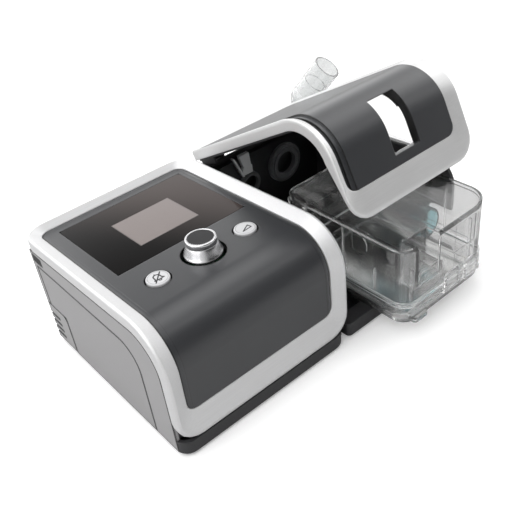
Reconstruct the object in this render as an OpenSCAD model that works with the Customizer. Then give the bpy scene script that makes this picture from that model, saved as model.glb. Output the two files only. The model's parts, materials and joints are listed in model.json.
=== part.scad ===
// Bilevel breathing machine with a heated humidifier docked on its right side.
// Millimetres. Drawn lid open and water chamber pulled forward.
// The model stands on Z = 0, with the origin under the middle of its outer box.
// Inside the modules X runs right from the main unit's left side, Y back from its
// front foot line and Z up from the underside of the casings.

/* [Overall] */
// Width of the main unit
main_w = 156; // [140:1:190]
// Width of the humidifier
hum_w = 132.6; // [128:0.5:160]
// Gap between the two units
unit_gap = 2.2; // [1.5:0.1:4]
// Depth of both casings
depth = 175; // [170:1:195]
// Height of the rubber feet
foot_h = 2.5; // [1.5:0.5:6]

/* [Side profile] */
// Radius of the big front shoulder, at the crest of the frames
shoulder_r = 36; // [30:1:38]
// Height of the shoulder's centre
shoulder_z = 67; // [64:1:82]
// Place of the front crest, ahead of the foot line
crest_y = -1; // [-2:0.5:0]
// Fall of the top towards the back, in degrees
top_slope = 2.5; // [0:0.5:4]

/* [Frames and panels] */
// Width of the main unit's bright frame on the sides
frame_w = 11.7; // [10:0.1:15]
// Width of the lid's bright frame on its left side
lid_left_w = 4.7; // [4:0.1:8]
// Width of the lid's bright frame on its right side
lid_right_w = 15; // [11:0.5:17]
// Width of the bright frames at the back
frame_back_w = 6; // [4:0.5:9]
// How far the frames reach behind the casings
frame_over = 12; // [10:0.5:13]
// Depth of the lid's raised panel under the crest of its frame
lid_panel_d = 1; // [0.8:0.1:2]
// Width of each of the two steps along the left edge of the lid's panel
lid_step = 3.7; // [3:0.1:5]
// Height of the bright frame under the main panel
frame_front_w = 21; // [18:0.5:24]
// Height of the bright frame under the lid's panel
lid_front_w = 21.4; // [18:0.1:23]
// Lower edge of the main frame at the front
frame_bottom = 11; // [8:0.5:14]
// Lower edge of the closed lid
lid_bottom = 20.7; // [18:0.1:24]
// Depth of the frames' side walls
frame_d = 8.5; // [7:0.5:10]
// Depth of the lid's front at its panel
lid_edge_d = 5.5; // [4.5:0.5:6]
// Depth of the lid's front lower edge
lid_lip_d = 2.8; // [2.7:0.1:4]
// Fall of the main frame from its crest to its inner edge
frame_fall = 5; // [3:0.5:6]
// Fall of the lid's frame from its crest to its inner edge
lid_fall = 1.3; // [0.8:0.1:2]
// Outer corner radius of the frames
corner_out = 18; // [12:1:20]
// Inner corner radius of the frames
corner_in = 8; // [3:0.5:9]
// Thickness of the dark panels
panel_t = 3; // [2:0.2:3]

/* [Casing] */
// Wall of the casings
wall = 3; // [2.5:0.1:3.5]
// Clearance between fixed pieces
gap = 0.3; // [0.2:0.05:0.5]
// Corner radius of the base trays in plan
tray_r = 10; // [6:1:12]
// Radius of the main tray's right front corner
tray_right_r = 14; // [10:1:15]
// Radius of the humidifier tray's left front corner
tray_left_r = 3.5; // [3.2:0.1:6]
// Length of the sill in front of the humidifier's bay
sill_l = 14.6; // [12:0.2:18]
// Front edge of the inset panel on the left side
side_panel_y = 34; // [25:1:45]
// Top edge of the inset panel on the left side
side_panel_z = 75; // [60:1:78]
// Depth of the filter cover along the side
filter_cover_l = 29; // [24:1:34]
// Height of the filter cover
filter_cover_h = 36; // [30:1:44]

/* [Controls] */
// Left edge of the display glass
lens_x = 24.7; // [20:0.1:30]
// Front edge of the display glass
lens_y = 85; // [80:1:90]
// Width of the display glass
lens_w = 111.8; // [90:0.1:113]
// Length of the display glass
lens_l = 86.5; // [60:0.5:88]
// Left edge of the screen
lcd_x = 55.5; // [45:0.5:60]
// Front edge of the screen
lcd_y = 104; // [98:0.5:108]
// Width of the screen
lcd_w = 52; // [40:0.5:57.6]
// Length of the screen
lcd_l = 42; // [30:0.5:43.2]
// Distance of the knob from the left side
knob_x = 79.5; // [70:0.5:90]
// Distance of the knob from the front
knob_y = 61; // [56:0.5:64]
// Largest radius of the knob, at its foot
knob_r = 14.2; // [11:0.1:15]
// Radius of the knob's top
knob_top_r = 11.4; // [9:0.1:12]
// Height of the knob above the panel
knob_h = 12.7; // [9:0.1:16]
// Radius of the push buttons
button_r = 8.4; // [6:0.1:9]
// Distance of the left button from the left side
mute_x = 40.5; // [32:0.5:44]
// Distance of the right button from the left side
ramp_x = 116.5; // [112:0.5:124]
// Travel of the buttons and the knob
press = 1.2; // [0.6:0.1:1.6]

/* [Blower] */
// Centre of the blower from the left side
blower_x = 72; // [64:1:80]
// Centre of the blower from the front
blower_y = 118; // [112:1:122]
// Outer radius of the blower housing
blower_r = 38; // [32:1:38]
// Outer radius of the air outlet pipe
port_r = 11; // [9:0.5:12]
// Height of the air outlet pipe
port_z = 54; // [50:1:56]

/* [Lid] */
// Angle at which the lid stands open
lid_open = 26; // [22:1:32]
// Hinge axis behind the casing's back
hinge_back = 8.5; // [6:0.5:9]
// Hinge axis height
hinge_z = 84; // [82:0.5:84]
// Radius of the hinge pins
pin_r = 1.5; // [1:0.1:1.8]
// Left edge of the lid's window from the lid's left side
window_x = 54.5; // [45:0.5:60]
// Width of the lid's window
window_w = 26.5; // [18:0.5:32]
// Lower edge of the lid's window
window_z0 = 50; // [45:1:58]
// Upper edge of the lid's window
window_z1 = 91; // [80:1:92]

/* [Water chamber] */
// Travel from the drawn place to the docked place
slide = 64; // [62:1:68]
// Width of the chamber
tank_w = 101; // [90:1:101]
// Length of the chamber
tank_l = 127; // [110:1:128]
// Gap from the docked chamber's back to the port gasket
dock_gap = 0.3; // [0.2:0.1:1]
// Height of the chamber's metal underside
tank_z = 13; // [12.8:0.1:13.4]
// Height of the seam between chamber base and cover
seam_z = 27; // [24:0.5:30]
// Height of the chamber's rim
rim_z = 80; // [74:0.5:80]
// Wall of the clear plastic
clear_wall = 2; // [1.5:0.1:2.5]
// Width of the finger notch in the chamber's front
notch_w = 24; // [18:0.5:30]
// Depth of the finger notch
notch_l = 13; // [9:0.5:15]

/* [Outlet elbow] */
// Bore radius of the hose socket
socket_r = 11; // [10.5:0.05:11.5]
// Depth of the hose socket
socket_l = 20; // [16:1:24]
// Wall of the elbow
elbow_wall = 1.8; // [1.5:0.1:2.2]
// Length of the leaning leg
leg_l = 39; // [36:1:46]
// Lean of the leg from upright, in degrees
leg_lean = 38; // [30:1:44]
// Direction of the leg in plan, in degrees from straight right
leg_turn = -60; // [-62:1:-40]
// Elbow axis behind the casing's back
elbow_back = 20; // [19:0.5:26]
// Elbow axis out from the humidifier's right side
elbow_out = 13.4; // [13.3:0.1:16]

/* [Hidden] */
$fn = 64;
eps = 0.01;
run = 0.05;

// Humidifier sides and hinge axis
hx0 = main_w + unit_gap;
hx1 = hx0 + hum_w;
hinge_y = depth + hinge_back;

// Shoulder centre and the point where the shoulder meets the sloping top
shoulder_y = crest_y + shoulder_r;
function top_y(d) = shoulder_y + (shoulder_r - d) * sin(top_slope);
function top_z(d) = shoulder_z + (shoulder_r - d) * cos(top_slope);
function surf_z(y, d) = top_z(d) - tan(top_slope) * (y - top_y(d));

// Lengths along the profile, from the back edge down to the front
line_l = (depth - top_y(0)) / cos(top_slope);
arc_l = shoulder_r * (90 + top_slope) * PI / 180;

panel_d = frame_fall + gap;
case_d = frame_d + gap;
chassis_t = 2.5;
panel_front_y = crest_y + panel_d;
lip_l = crest_y + case_d - gap;
hum_front = 1.8;
deck_z = 5;
deck_t = 2;
heater_t = 3;

// Controls
well_r = knob_r + 2.3;
button_y = knob_y - 1;
button_gap = 1.1;
button_up = 1.2;
cap_drop = 0.6;
board_d = 20;
board_t = 1.6;
encoder_h = 7;
switch_h = 5;
shaft_r = 3;

// Blower
port_y = blower_y + blower_r - port_r;
housing_z0 = port_z - port_r - 2;
housing_h = 2 * port_r + 4;
motor_r = 16;
spindle_r = 2;
impeller_r = blower_r - 8;

// Filter corner
filter_z0 = 1;
filter_wrap = 22;

// Water chamber
tank_x1 = hx1 - wall - 2.3;
tank_x0 = tank_x1 - tank_w;
ring_t = 4.7;
block_t = wall + 3;
block_y = depth - wall - gap - block_t;
tank_back = block_y - ring_t - dock_gap - slide - gap;
tank_front = tank_back - tank_l;
tank_r = 12;
tank_r2 = 20;
flange = 1.5;
flange_h = 5;
seal_h = 1.6;
grip_l = 5;
rail_w = 6;
ring_x = tank_x0 + 60.7;
ring_z = 57.6;
ring_out = 18.5;
inlet_x = tank_x0 + 19;
inlet_z = port_z;
inlet_r = 8;

// Heater
heater_x0 = tank_x0 + rail_w + 1;
heater_x1 = tank_x1 - rail_w - 1;
heater_y0 = 50;
heater_l = 80;
heater_top = tank_z - 0.4;
spring_r = 4;

// Elbow
elbow_x = hx1 + elbow_out;
elbow_y = depth + elbow_back;
elbow_z = 92;
duct_x = hx1 - 16.8;
duct_z = 50;
spigot_r = 11;
spigot_top = 82;
body_r = spigot_r + run + elbow_wall + 0.4;
leg_r = socket_r + elbow_wall;
leg_end = [elbow_x + leg_l * sin(leg_lean) * cos(leg_turn),
    elbow_y + leg_l * sin(leg_lean) * sin(leg_turn), elbow_z + leg_l * cos(leg_lean)];

// The outer box in plan, from which the origin follows
box_x1 = leg_end[0] + leg_r * sqrt(1 - pow(sin(leg_lean) * cos(leg_turn), 2));
box_y0 = tank_front - grip_l;
box_y1 = elbow_y + body_r;
origin_x = box_x1 / 2;
origin_y = (box_y0 + box_y1) / 2;

module placed() {
    translate([-origin_x, -origin_y, foot_h])
        children();
}

// Turns the closed lid to the angle at which it stands open
module opened() {
    translate([0, hinge_y, hinge_z])
        rotate([-lid_open, 0, 0])
            translate([0, -hinge_y, -hinge_z])
                children();
}

// Extrudes an outline drawn in Y and Z along X
module across(x0, x1) {
    translate([x0, 0, 0])
        rotate([90, 0, 90])
            linear_extrude(x1 - x0)
                children();
}

// Side outline at a depth d under the crest, with its back and its underside
module profile(d, y_back, z_low) {
    r = shoulder_r - d;
    translate([shoulder_y, shoulder_z])
        circle(r, $fn = 96);
    polygon([[shoulder_y - r, shoulder_z], [shoulder_y - r, z_low], [y_back, z_low],
        [y_back, surf_z(y_back, d)], [top_y(d + 0.01), top_z(d + 0.01)],
        [shoulder_y, shoulder_z]]);
}

// A bent sheet between two depths under the crest
module sheet(x0, x1, d, t, y_back, z_low) {
    across(x0, x1)
        difference() {
            profile(d, y_back, z_low);
            profile(d + t, y_back + 10, z_low - 10);
        }
}

// Puts its children d under the crest, on a line through (x, y) on the main panel
// and square to it
module on_top(x, y, d) {
    translate([x, y, surf_z(y, panel_d)])
        rotate([-top_slope, 0, 0])
            translate([0, 0, panel_d - d])
                children();
}

// Plan outline with a radius of its own at each front corner
module front_outline(w, l, ra, rb) {
    translate([ra, 0])
        square([w - ra - rb, l]);
    translate([0, ra])
        square([w / 2, l - ra]);
    translate([w / 2, rb])
        square([w / 2, l - rb]);
    translate([ra, ra])
        circle(ra);
    translate([w - rb, rb])
        circle(rb);
}

// A flat rectangle with round corners
module rounded(w, l, r) {
    translate([r, 0])
        square([w - 2 * r, l]);
    translate([0, r])
        square([w, l - 2 * r]);
    for (x = [r, w - r])
        for (y = [r, l - r])
            translate([x, y])
                circle(r);
}

module along_y(x, y, z, l, r) {
    translate([x, y, z])
        rotate([-90, 0, 0])
            cylinder(h = l, r = r);
}

module along_x(x, y, z, l, r) {
    translate([x, y, z])
        rotate([0, 90, 0])
            cylinder(h = l, r = r);
}

// Bright frame: a closed ring of one cross-section laid over the side profile.
// A place on the profile is s along it from the back edge and d under the crest.
function on_profile(x, s, d) =
    s < line_l
        ? [x, depth - s * cos(top_slope) - d * sin(top_slope),
            surf_z(depth, 0) + s * sin(top_slope) - d * cos(top_slope)]
        : s < line_l + arc_l
            ? let (a = 90 - top_slope + (s - line_l) / shoulder_r * 180 / PI)
                [x, shoulder_y + (shoulder_r - d) * cos(a),
                    shoulder_z + (shoulder_r - d) * sin(a)]
            : [x, crest_y + d, shoulder_z - (s - line_l - arc_l)];

arc_steps = 14;
corner_steps = 5;
function run_stops(s0, s1) = concat([s0],
    [for (k = [0:arc_steps]) line_l + arc_l * k / arc_steps], [s1]);
function turn(cx, cs, r, a0, a1) =
    [for (k = [0:corner_steps])
        let (a = a0 + (a1 - a0) * k / corner_steps) [cx + r * cos(a), cs + r * sin(a)]];
function reversed(v) = [for (k = [len(v) - 1:-1:0]) v[k]];

// One loop around the frame: left run, front corners, right run, back corners
function loop(x0, x1, s0, s1, r) = let (stops = run_stops(s0 + r, s1 - r)) concat(
    [for (s = stops) [x0, s]],
    turn(x0 + r, s1 - r, r, 180, 90),
    turn(x1 - r, s1 - r, r, 90, 0),
    [for (s = reversed(stops)) [x1, s]],
    turn(x1 - r, s0 + r, r, 0, -90),
    turn(x0 + r, s0 + r, r, -90, -180));

// Cross-section: share of the way inwards, depth on the sides, depth on the front
function frame_section(low_d, front_d, fall) = [[0, frame_d, low_d], [0, 2.6, 2.6],
    [0.07, 0.8, 0.8], [0.2, 0, 0], [1, fall, fall], [1, frame_d, front_d]];

module bright_frame(x0, x1, z_low, left_w, right_w, front_w, low_d, front_d, fall) {
    s0 = -frame_over / cos(top_slope);
    s1 = line_l + arc_l + shoulder_z - z_low;
    outer = loop(x0, x1, s0, s1, corner_out);
    inner = loop(x0 + left_w, x1 - right_w, s0 + frame_back_w, s1 - front_w, corner_in);
    section = frame_section(low_d, front_d, fall);
    n = len(outer);
    m = len(section);
    front_s = line_l + arc_l + 4;
    points = [for (i = [0:n - 1]) for (c = section)
        let (p = outer[i] * (1 - c[0]) + inner[i] * c[0])
            on_profile(p[0], p[1], outer[i][1] > front_s ? c[2] : c[1])];
    faces = [for (i = [0:n - 1]) for (j = [0:m - 1])
        let (a = i * m + j, b = i * m + (j + 1) % m,
            c = ((i + 1) % n) * m + (j + 1) % m, e = ((i + 1) % n) * m + j)
            each [[a, b, c], [a, c, e]]];
    polyhedron(points, [for (f = faces) [f[2], f[1], f[0]]], convexity = 6);
}

// Dark panel inside a bright frame, with round corners in front and at the back.
// Each step is a place in from the panel's left edge and a depth under the crest.
module dark_panel(x0, x1, z_low, left_w, right_w, front_w, steps) {
    px0 = x0 + left_w + gap;
    px1 = x1 - right_w - gap;
    low = z_low + front_w + gap;
    y_back = depth + frame_over - frame_back_w - gap - frame_d * sin(top_slope);
    intersection() {
        union() {
            for (s = steps)
                sheet(px0 + s[0], px1, s[1], panel_d + panel_t - s[1], y_back, low);
        }
        translate([px0, depth + 20, low])
            rotate([90, 0, 0])
                linear_extrude(depth + 30)
                    rounded(px1 - px0, 100, corner_in);
        translate([px0, -20, 0])
            linear_extrude(150)
                rounded(px1 - px0, y_back + 20, corner_in);
    }
}

// Bottom tray with a low front lip that turns the front corners
module tray(x0, y0, w, lip_h, ra, rb) {
    difference() {
        translate([x0, y0, 0])
            linear_extrude(lip_h)
                front_outline(w, 40, ra, rb);
        translate([x0 + wall, y0 + wall, wall])
            linear_extrude(lip_h)
                front_outline(w - 2 * wall, 40, max(ra - wall, 0.5), rb - wall);
        translate([x0 - 1, lip_l, -eps])
            cube([w + 2, 60, lip_h + 1]);
    }
}

module feet(x0, w) {
    for (x = [x0 + 20, x0 + w - 20])
        for (y = [22, depth - 22])
            translate([x, y, -foot_h])
                cylinder(h = foot_h - eps, r1 = 7, r2 = 8);
}

module screws(x0, w, l) {
    for (x = [x0 + 10, x0 + w - 10])
        for (y = [44, depth - 40])
            translate([x, y, 0]) {
                cylinder(h = 1.8, r = 2.8);
                cylinder(h = l, r = 1.45);
            }
}

module screw_holes(x0, w) {
    for (x = [x0 + 10, x0 + w - 10])
        for (y = [44, depth - 40])
            translate([x, y, -eps]) {
                cylinder(h = 2, r = 3);
                cylinder(h = 12, r = 1.5);
            }
}

module screw_posts(x0, w, h) {
    for (x = [x0 + 10, x0 + w - 10])
        for (y = [44, depth - 40])
            translate([x, y, 0])
                cylinder(h = h, r = 4);
}

module main_base() {
    color([0.2, 0.2, 0.21]) placed() difference() {
        union() {
            tray(0, 0, main_w, frame_bottom - gap, tray_r, tray_right_r);
            translate([wall + 0.8, lip_l - 1, 0])
                cube([main_w - 2 * wall - 1.6, depth - wall - gap - lip_l + 1, wall]);
            screw_posts(0, main_w, 10.5);
        }
        screw_holes(0, main_w);
    }
}

side_t = wall + 0.5;
inset_t = 2;

module side_panel_outline(grow) {
    r = 20 + grow;
    y0 = side_panel_y - grow;
    z1 = side_panel_z + grow;
    y1 = depth - 6 + grow;
    difference() {
        union() {
            translate([y0, -1])
                square([y1 - y0, z1 - r + 1]);
            translate([y0 + r, -1])
                square([y1 - y0 - r, z1 + 1]);
            translate([y0 + r, z1 - r])
                circle(r);
        }
        translate([depth - filter_cover_l - 1.2 + grow, -2])
            square([60, filter_cover_h + 3.2 - grow]);
    }
}

module side_cover_left() {
    color([0.55, 0.55, 0.56]) placed() difference() {
        across(0, side_t)
            profile(case_d, depth, 0);
        across(-1, inset_t)
            side_panel_outline(gap);
        translate([-1, depth - filter_cover_l - gap, -1])
            cube([20, filter_cover_l + 1, filter_cover_h + filter_z0 + gap + 1]);
        translate([-1, depth - 16, 79])
            cube([20, 13, 6.2]);
    }
}

module left_side_panel() {
    color([0.62, 0.62, 0.63]) placed()
        intersection() {
            across(0, inset_t - 0.15)
                side_panel_outline(0);
            translate([-1, 0, 0])
                cube([10, depth, side_panel_z + 1]);
        }
}

module side_cover_right() {
    color([0.16, 0.16, 0.17]) placed() difference() {
        across(main_w - side_t, main_w)
            profile(case_d, depth, 0);
        along_x(main_w - 10, port_y, port_z, 20, port_r + 2.8);
        translate([main_w - 10, 92.5, 15.5])
            cube([20, 15, 9]);
    }
}

inlet_at = 60;
module rear_cover() {
    color([0.16, 0.16, 0.17]) placed() difference() {
        translate([side_t + gap, depth - wall, 0])
            cube([main_w - 2 * side_t - 2 * gap, wall, surf_z(depth, case_d) - gap]);
        translate([-1, depth - 10, -1])
            cube([filter_wrap + gap + 1, 20, filter_cover_h + filter_z0 + gap + 1]);
        translate([inlet_at - 7.3, depth - 10, 11.7])
            cube([14.6, 20, 12.6]);
        for (k = [0:7])
            translate([90 + k * 6, depth - 10, 30])
                cube([2.5, 20, 24]);
        translate([112, depth - 10, 12])
            cube([18, 20, 6]);
    }
}

module filter_cover() {
    color([0.55, 0.55, 0.56]) placed() difference() {
        union() {
            intersection() {
                translate([0, depth - filter_cover_l, filter_z0])
                    cube([wall, filter_cover_l, filter_cover_h]);
                across(-1, 10)
                    translate([depth - filter_cover_l, -20])
                        rounded(filter_cover_l + 20, filter_cover_h + filter_z0 + 20, 6);
            }
            translate([0, depth - wall, filter_z0])
                cube([filter_wrap, wall, filter_cover_h]);
        }
        for (z = [7.5, 13.5, 20, 26.5])
            translate([-1, depth - 14, z - 1.1]) {
                cube([wall + 2, 20, 2.2]);
                cube([12, 20, 2.2]);
            }
    }
}

module air_filter() {
    color([0.75, 0.76, 0.78]) placed()
        translate([wall + gap, depth - filter_cover_l + 1, 4])
            cube([14, filter_cover_l - wall - 1 - gap, filter_cover_h - 5]);
}

// Rubber flap over the card slot, hinged along its lower edge
card_z = 79.3;
module card_door() {
    color([0.12, 0.12, 0.13]) placed()
        translate([0.2, depth - 15.6, card_z])
            cube([2.2, 12.2, 5.1]);
}

module upper_chassis() {
    color([0.25, 0.25, 0.26]) placed() difference() {
        union() {
            sheet(side_t + gap, main_w - side_t - gap, case_d, chassis_t,
                depth - wall - gap, frame_bottom + gap);
            for (x = [18, main_w - 18])
                for (y = [48, depth - 22])
                    on_top(x, y, panel_d + board_d - board_t - gap)
                        cylinder(h = panel_d + board_d - board_t - gap - case_d - 1, r = 3);
        }
        on_top(knob_x, knob_y, case_d)
            translate([0, 0, -10])
                cylinder(h = 20, r = well_r);
        for (x = [mute_x, ramp_x])
            on_top(x, button_y, case_d)
                translate([0, 0, -10])
                    cylinder(h = 20, r = button_r + button_gap);
        on_top(lcd_x, lcd_y, case_d)
            translate([-2, -2, -10])
                cube([lcd_w + 4, lcd_l + 4, 20]);
    }
}

module top_frame() {
    color([0.86, 0.86, 0.87]) placed()
        bright_frame(0, main_w, frame_bottom, frame_w, frame_w, frame_front_w, frame_d,
            frame_d, frame_fall);
}

lens_t = 1.2;
module top_panel() {
    color([0.2, 0.2, 0.22]) placed() difference() {
        dark_panel(0, main_w, frame_bottom, frame_w, frame_w, frame_front_w,
            [[0, panel_d]]);
        on_top(knob_x, knob_y, panel_d)
            translate([0, 0, -10])
                cylinder(h = 20, r = well_r);
        for (x = [mute_x, ramp_x])
            on_top(x, button_y, panel_d)
                translate([0, 0, -10])
                    cylinder(h = 20, r = button_r + button_gap);
        on_top(lens_x - gap, lens_y - gap, panel_d)
            translate([0, 0, -lens_t - 0.2])
                cube([lens_w + 2 * gap, lens_l + 2 * gap, 10]);
        on_top(lcd_x, lcd_y, panel_d)
            translate([-2, -2, -10])
                cube([lcd_w + 4, lcd_l + 4, 20]);
    }
}

module display_lens() {
    color([0.05, 0.05, 0.06]) placed()
        on_top(lens_x, lens_y, panel_d)
            difference() {
                translate([0, 0, -lens_t])
                    linear_extrude(lens_t)
                        rounded(lens_w, lens_l, 3);
                translate([lcd_x - lens_x - 0.1, lcd_y - lens_y - 0.1, -5])
                    cube([lcd_w + 0.2, lcd_l + 0.2, 10]);
            }
}

module lcd_module() {
    color([0.6, 0.56, 0.54]) placed()
        on_top(lcd_x, lcd_y, panel_d) {
            translate([0, 0, -lens_t - 0.3])
                cube([lcd_w, lcd_l, lens_t + 0.2]);
            translate([-1.5, -1.5, -5.5])
                cube([lcd_w + 3, lcd_l + 3, 5.5 - lens_t - 0.3]);
        }
}

module main_board() {
    color([0.05, 0.3, 0.15]) placed()
        on_top(12, 38, panel_d + board_d)
            difference() {
                cube([main_w - 24, 124, board_t]);
                translate([knob_x - 12, knob_y - 38, -5])
                    cylinder(h = 10, r = 2);
            }
}

encoder_w = 12;
module encoder() {
    color([0.5, 0.5, 0.52]) placed()
        on_top(knob_x, knob_y, panel_d + board_d - board_t)
            difference() {
                translate([-encoder_w / 2, -encoder_w / 2, gap])
                    cube([encoder_w, encoder_w, encoder_h]);
                translate([0, 0, gap + 1])
                    cylinder(h = 3.5, r = 4.5);
                translate([0, 0, gap + 1])
                    cylinder(h = encoder_h, r = shaft_r + run);
            }
}

module encoder_plunger() {
    color([0.8, 0.8, 0.3]) placed()
        on_top(knob_x, knob_y, panel_d + board_d - board_t)
            translate([0, 0, gap + 1 + press + 0.3])
                cylinder(h = 1, r = 4.2);
}

// Flared knob: a waisted side between a wide foot and a bright rim
module knob() {
    stem = board_d - board_t - gap - 1 - press - 0.3 - 1 - gap;
    waist = knob_h - 4.5;
    color([0.8, 0.8, 0.82]) placed()
        on_top(knob_x, knob_y, panel_d) {
            rotate_extrude($fn = 72)
                difference() {
                    polygon([[0, -1.5], [knob_r - 0.4, -1.5], [knob_r, -1], [knob_r, 0.4],
                        [knob_r - 1, 2.2], [knob_top_r + 0.3, waist - 1.6],
                        [knob_top_r - 0.5, waist], [knob_top_r - 0.2, waist + 1.2],
                        [knob_top_r, knob_h - 1.6], [knob_top_r - 0.2, knob_h - 0.5],
                        [knob_top_r - 0.9, knob_h], [0, knob_h]]);
                    translate([0, knob_h - cap_drop])
                        square([knob_top_r - 2, 10]);
                }
            translate([0, 0, -stem])
                cylinder(h = stem, r = shaft_r);
        }
}

module knob_cap() {
    color([0.18, 0.18, 0.19]) placed()
        on_top(knob_x, knob_y, panel_d)
            translate([0, 0, knob_h - cap_drop + eps])
                cylinder(h = 0.4, r = knob_top_r - 2.1);
}

module push_button(x) {
    stem_l = board_d - board_t - switch_h - gap - press - 0.4;
    on_top(x, button_y, panel_d) {
        translate([0, 0, -4.5])
            cylinder(h = 4.5 + button_up, r = button_r);
        translate([0, 0, -stem_l])
            cylinder(h = stem_l, r = 2.5);
    }
}

module mute_button() {
    color([0.85, 0.85, 0.86]) placed()
        push_button(mute_x);
}

module ramp_button() {
    color([0.85, 0.85, 0.86]) placed()
        push_button(ramp_x);
}

module button_switches() {
    color([0.15, 0.15, 0.16]) placed()
        for (x = [mute_x, ramp_x])
            on_top(x, button_y, panel_d + board_d - board_t) {
                translate([-3, -3, gap])
                    cube([6, 6, switch_h - 1]);
                translate([0, 0, gap])
                    cylinder(h = switch_h, r = 1.7);
            }
}

module blower_housing() {
    color([0.85, 0.85, 0.8]) placed() difference() {
        union() {
            translate([blower_x, blower_y, housing_z0])
                cylinder(h = housing_h, r = blower_r);
            along_x(blower_x, port_y, port_z, main_w - side_t - gap - 2 - blower_x, port_r);
        }
        translate([blower_x, blower_y, housing_z0 + 2])
            cylinder(h = housing_h, r = blower_r - 2);
        translate([blower_x, blower_y, housing_z0 - 1])
            cylinder(h = 10, r = 6);
        along_x(blower_x, port_y, port_z, main_w, port_r - 2);
    }
}

module blower_cover() {
    color([0.85, 0.85, 0.8]) placed() difference() {
        translate([blower_x, blower_y, housing_z0 + housing_h + gap])
            cylinder(h = 2.5, r = blower_r);
        translate([blower_x, blower_y, housing_z0 + housing_h - 5])
            cylinder(h = 20, r = 15);
    }
}

module impeller() {
    blades = 11;
    color([0.9, 0.9, 0.92]) placed()
        translate([blower_x, blower_y, housing_z0 + 5])
            difference() {
                union() {
                    cylinder(h = 2, r = impeller_r);
                    cylinder(h = 14, r = 6);
                    for (k = [0:blades - 1])
                        rotate(k * 360 / blades)
                            translate([5, -0.7, 0])
                                rotate(25)
                                    cube([impeller_r - 8, 1.4, 12]);
                }
                translate([0, 0, -1])
                    cylinder(h = 30, r = spindle_r + run);
            }
}

module motor() {
    color([0.45, 0.45, 0.47]) placed()
        translate([blower_x, blower_y, 0]) {
            translate([0, 0, wall + gap])
                cylinder(h = housing_z0 - wall - 2 * gap, r = motor_r);
            translate([0, 0, wall + gap])
                cylinder(h = housing_z0 + 18 - wall, r = spindle_r);
        }
}

module muffler_foam() {
    color([0.3, 0.3, 0.32]) placed()
        translate([wall + 24, blower_y + blower_r + 2, 27])
            cube([48, depth - wall - gap - blower_y - blower_r - 2, 42]);
}

module dc_inlet() {
    color([0.08, 0.08, 0.09]) placed() {
        difference() {
            translate([inlet_at - 7, depth - 15, 12])
                cube([14, 14.6, 12]);
            along_y(inlet_at, depth - 11, 18, 20, 3.2);
        }
        along_y(inlet_at, depth - 12, 18, 9, 1);
        translate([inlet_at - 5, depth - 15, wall + gap])
            cube([10, 9, 12.1 - wall - gap]);
    }
}

module outlet_seal() {
    color([0.1, 0.1, 0.11]) placed() difference() {
        union() {
            along_x(main_w - side_t - 1, port_y, port_z, side_t + unit_gap + 1 - gap, port_r + 2.4);
            along_x(main_w - side_t - 3, port_y, port_z, 2.7, port_r + 5);
        }
        along_x(main_w - 20, port_y, port_z, 40, port_r + gap);
    }
}

module dock_connector() {
    color([0.1, 0.1, 0.1]) placed() {
        translate([main_w - side_t - 3, 93, 16])
            cube([side_t + unit_gap + 3 - gap, 14, 8]);
        translate([main_w - side_t - 3, 93, wall + gap])
            cube([2.5, 14, 16.3 - wall - gap]);
    }
}

module main_feet() {
    color([0.06, 0.06, 0.06]) placed()
        feet(0, main_w);
}

module main_screws() {
    color([0.4, 0.4, 0.42]) placed()
        screws(0, main_w, 9);
}

ear_x = [hx0 + 14, hx0 + 74];
ear_w = 5;
knuckle_w = 9;
ear_r = 3.5;
module humidifier_base() {
    color([0.14, 0.14, 0.15]) placed() difference() {
        union() {
            tray(hx0, hum_front, hum_w, tank_z - 1, tray_left_r, tray_r);
            intersection() {
                translate([hx0, hum_front, 0])
                    linear_extrude(tank_z - 1)
                        front_outline(hum_w, 40, tray_left_r, tray_r);
                translate([hx0 + wall - 0.5, 0, 0])
                    cube([hum_w - 2 * wall + 1, sill_l, 20]);
            }
            translate([hx0 + 1, lip_l - 1, 0])
                cube([hum_w - 2, depth - lip_l + 1, wall]);
            across(hx0, hx0 + wall)
                profile(case_d, depth, 0);
            across(hx1 - wall, hx1)
                profile(case_d, depth, 0);
            translate([hx0, depth - wall, 0])
                cube([hum_w, wall, surf_z(depth, case_d) - 3]);
            screw_posts(hx0, hum_w, deck_z - gap);
            for (x = ear_x) {
                for (e = [x, x + ear_w + knuckle_w]) {
                    translate([e, hinge_y - ear_r, hinge_z - 16])
                        cube([ear_w, 2 * ear_r, 16]);
                    along_x(e, hinge_y, hinge_z, ear_w, ear_r);
                    translate([e, depth - wall, hinge_z - 16])
                        cube([ear_w, hinge_y - depth + wall, 10]);
                }
            }
        }
        screw_holes(hx0, hum_w);
        for (x = ear_x)
            along_x(x - 1, hinge_y, hinge_z, 30, pin_r + run);
        along_x(hx0 - 1, port_y, port_z, wall + 2, port_r + 1);
        translate([hx0 - 1, 93, 15])
            cube([wall + 2, 14, 10]);
        along_y(duct_x, depth - 10, duct_z, 20, 9);
        across(hx1 - wall - 1, hx1 + 1)
            translate([-20, tank_z - 1])
                rounded(52, 36, 8);
    }
}

module bay_deck() {
    color([0.1, 0.1, 0.11]) placed() difference() {
        union() {
            translate([hx0 + wall + gap, sill_l + gap, deck_z])
                cube([hum_w - 2 * wall - 2 * gap, block_y - sill_l - 2 * gap, deck_t]);
            for (x = [tank_x0, tank_x1 - rail_w])
                translate([x, sill_l + gap, deck_z])
                    cube([rail_w, block_y - sill_l - 2 * gap, tank_z - gap - deck_z]);
        }
        translate([heater_x0 - 1, heater_y0 - 1, 0])
            cube([heater_x1 - heater_x0 + 2, heater_l + 2, 20]);
        screw_holes(hx0, hum_w);
    }
}

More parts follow.
